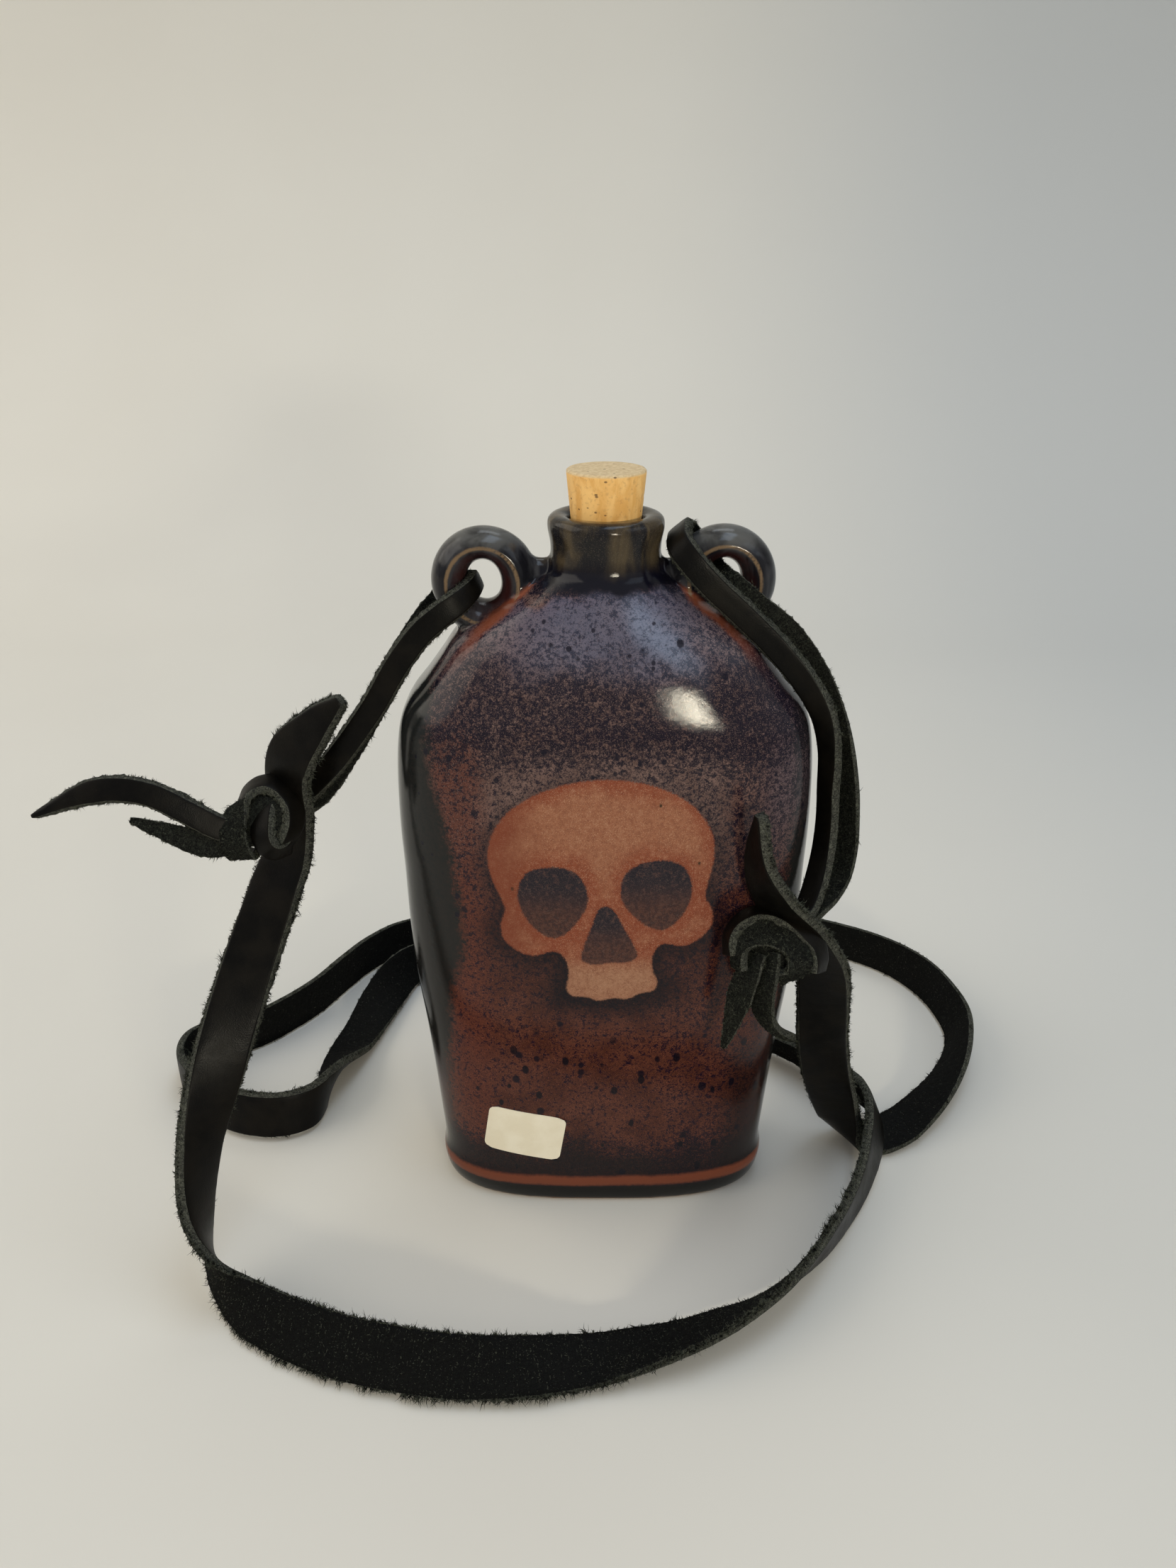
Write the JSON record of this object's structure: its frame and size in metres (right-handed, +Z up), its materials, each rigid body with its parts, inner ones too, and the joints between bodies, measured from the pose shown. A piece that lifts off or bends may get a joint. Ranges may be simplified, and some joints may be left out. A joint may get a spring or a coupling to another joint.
{
  "type": "glazed flask canteen",
  "caption": "Flat shouldered stoneware flask with a collared mouth, tapered cork, two pulled lugs and a long leather strap tied on by knotted thongs.",
  "frame": {"origin": "centre of the flask's foot, on the surface that it stands on", "axes": "+Z up along the neck, +X to the right of the broad front face, -Y out of that face"},
  "size_m": [0.3145, 0.2413, 0.2403],
  "materials": {
    "body_glaze": "glossy iron-red glaze with dark blue-black mottling",
    "neck_glaze": "glossy dark grey-brown glaze",
    "lug_glaze": "glossy blue-grey glaze that breaks tan on the ridges",
    "cork": "bare natural cork with fine grain and pits",
    "strap_leather": "black leather, smooth grain side, fibrous flesh side and frayed edges",
    "thong_leather": "black leather lace, soft and matt",
    "label_paper": "blank matt cream paper"
  },
  "bodies": {
    "canteen": {"flask_body": "body_glaze", "neck_collar": "neck_glaze", "left_lug": "lug_glaze", "right_lug": "lug_glaze", "shoulder_strap": "strap_leather", "left_thong": "thong_leather", "right_thong": "thong_leather", "left_knot": "thong_leather", "right_knot": "thong_leather", "blank_label": "label_paper"},
    "cork": {"cork_stopper": "cork"}
  },
  "joints": [
    {"name": "cork_pull", "type": "slide", "parent": "canteen", "child": "cork", "axis": [0, 0, 1], "range_m": [0, 0.045]}
  ]
}
